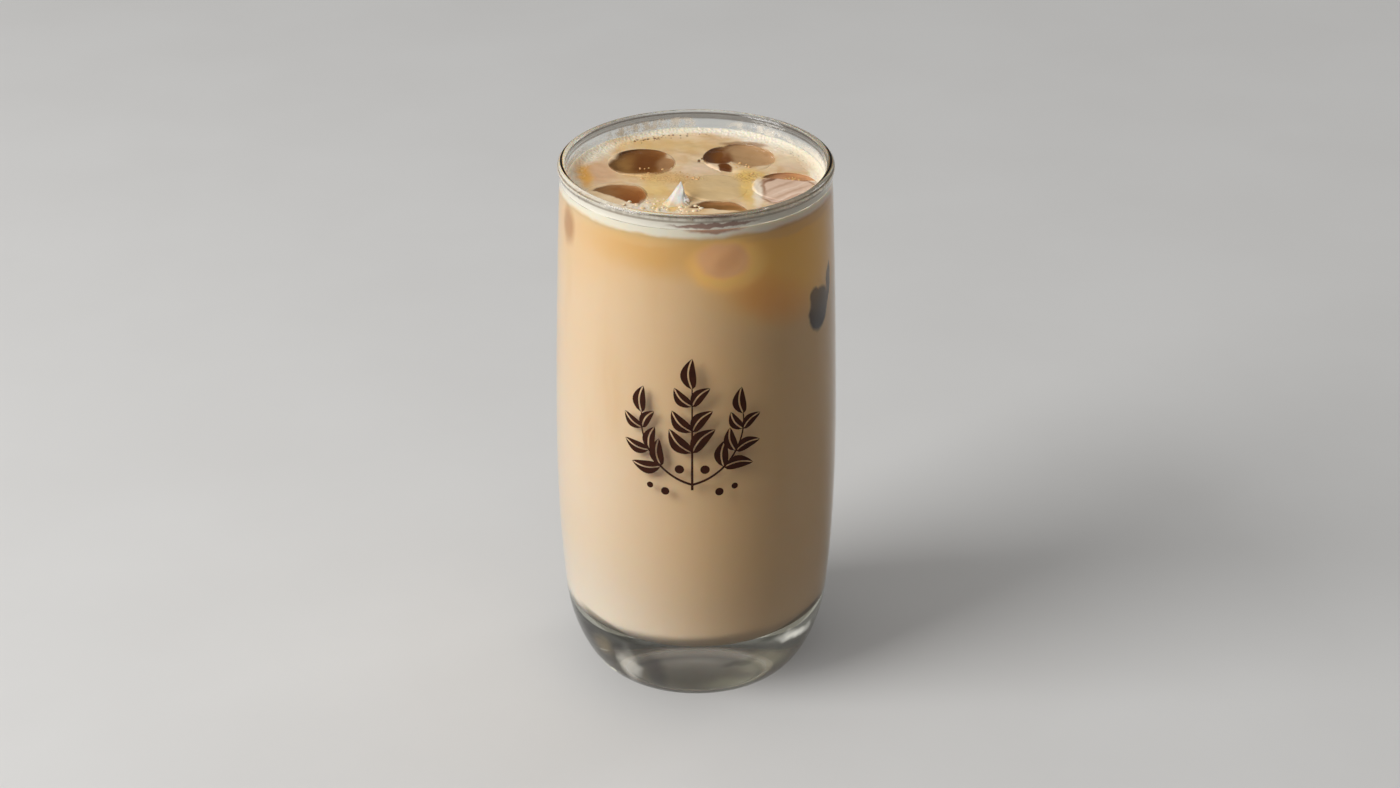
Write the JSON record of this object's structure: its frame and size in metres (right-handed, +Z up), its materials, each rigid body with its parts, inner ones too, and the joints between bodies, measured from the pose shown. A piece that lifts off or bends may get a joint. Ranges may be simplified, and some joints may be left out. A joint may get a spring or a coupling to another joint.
{
  "type": "iced irish coffee",
  "caption": "Tall barrel-shaped glass tumbler with a thick rounded base, filled with milky iced coffee under a thin pale foam, with clear ice floating at the surface.",
  "frame": {"origin": "centre of the foot, on the plane that the tumbler stands on", "axes": "+Z up along the tumbler's axis, -Y towards the front, where the print is, +X to the right seen from the front"},
  "size_m": [0.0704, 0.0704, 0.137],
  "materials": {
    "tumbler": "clear polished glass",
    "coffee": "milky coffee, tan above and cream below",
    "milk_foam": "fine pale foam",
    "ice": "wet clear ice with coffee showing through"
  },
  "bodies": {
    "root": {"tumbler": "tumbler", "coffee": "coffee", "milk_foam": "milk_foam", "ice_back_left": "ice", "ice_back_right": "ice", "ice_front_left": "ice", "ice_right": "ice", "ice_front": "ice", "ice_centre": "ice"}
  },
  "joints": []
}
